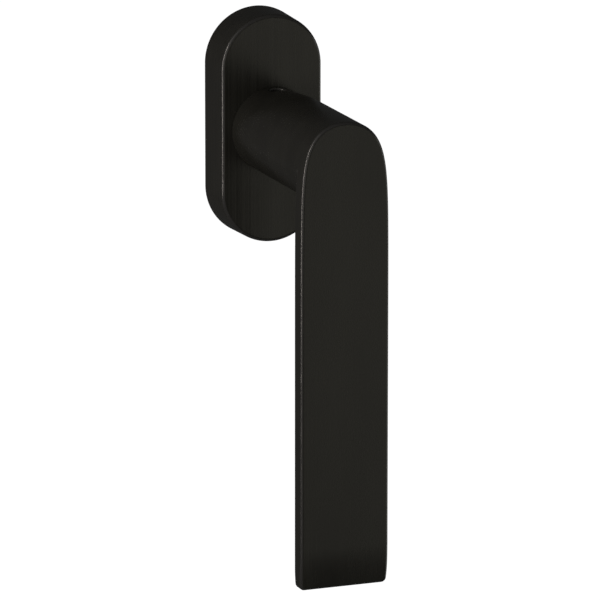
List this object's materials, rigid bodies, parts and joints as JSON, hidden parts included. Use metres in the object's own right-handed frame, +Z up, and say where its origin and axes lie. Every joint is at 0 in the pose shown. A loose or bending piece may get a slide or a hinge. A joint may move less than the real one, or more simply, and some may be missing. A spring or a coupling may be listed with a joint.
{
  "type": "window sash handle",
  "caption": "Cranked lever handle on an oval rosette, with a square spindle and quarter-turn detents, for a tilt-and-turn window sash.",
  "frame": {"origin": "on the lever's turning axis, in the plane of the rosette's back face", "axes": "+Y runs along the turning axis into the sash, -Y is the room side, +Z is up and the lever hangs towards -Z at rest"},
  "size_m": [0.0312, 0.1004, 0.1541],
  "materials": {
    "black_satin_cover": "matt black anodised over fine vertical brushing",
    "black_satin_lever": "matt black anodised over fine brushing, edges burnished",
    "cast_zinc": "as cast, tumbled",
    "spring_steel": "cold rolled spring steel",
    "zinc_plated_plate": "stamped, bright zinc plated",
    "zinc_plated_screw": "bright zinc plated",
    "black_plastic": "moulded acetal",
    "white_plastic": "moulded acetal",
    "bronze_washer": "rolled phosphor bronze",
    "turned_steel": "turned",
    "sintered_steel": "sintered, oiled",
    "blackened_steel": "black oxide",
    "drawn_steel": "cold drawn, zinc plated"
  },
  "bodies": {
    "rosette": {"cover": "black_satin_cover", "base_plate": "cast_zinc", "clip_left": "spring_steel", "clip_right": "spring_steel", "bridge_plate": "zinc_plated_plate", "bridge_screw_1": "zinc_plated_screw", "bridge_screw_2": "zinc_plated_screw", "bridge_screw_3": "zinc_plated_screw", "bridge_screw_4": "zinc_plated_screw", "front_bush": "black_plastic", "rear_bush": "white_plastic", "thrust_washer": "bronze_washer", "leaf_spring_upper": "spring_steel", "leaf_spring_lower": "spring_steel", "fixing_screw_upper": "zinc_plated_screw", "fixing_screw_lower": "zinc_plated_screw"},
    "lever": {"lever": "black_satin_lever", "hub": "turned_steel", "detent_cam": "sintered_steel", "retaining_ring": "blackened_steel", "spindle": "drawn_steel", "grub_screw": "blackened_steel"}
  },
  "joints": [
    {"name": "lever_turn", "type": "hinge", "parent": "rosette", "child": "lever", "pos_m": [0, 0, 0], "axis": [0, 1, 0], "continuous": true, "deforming": ["leaf_spring_upper", "leaf_spring_lower"]}
  ]
}
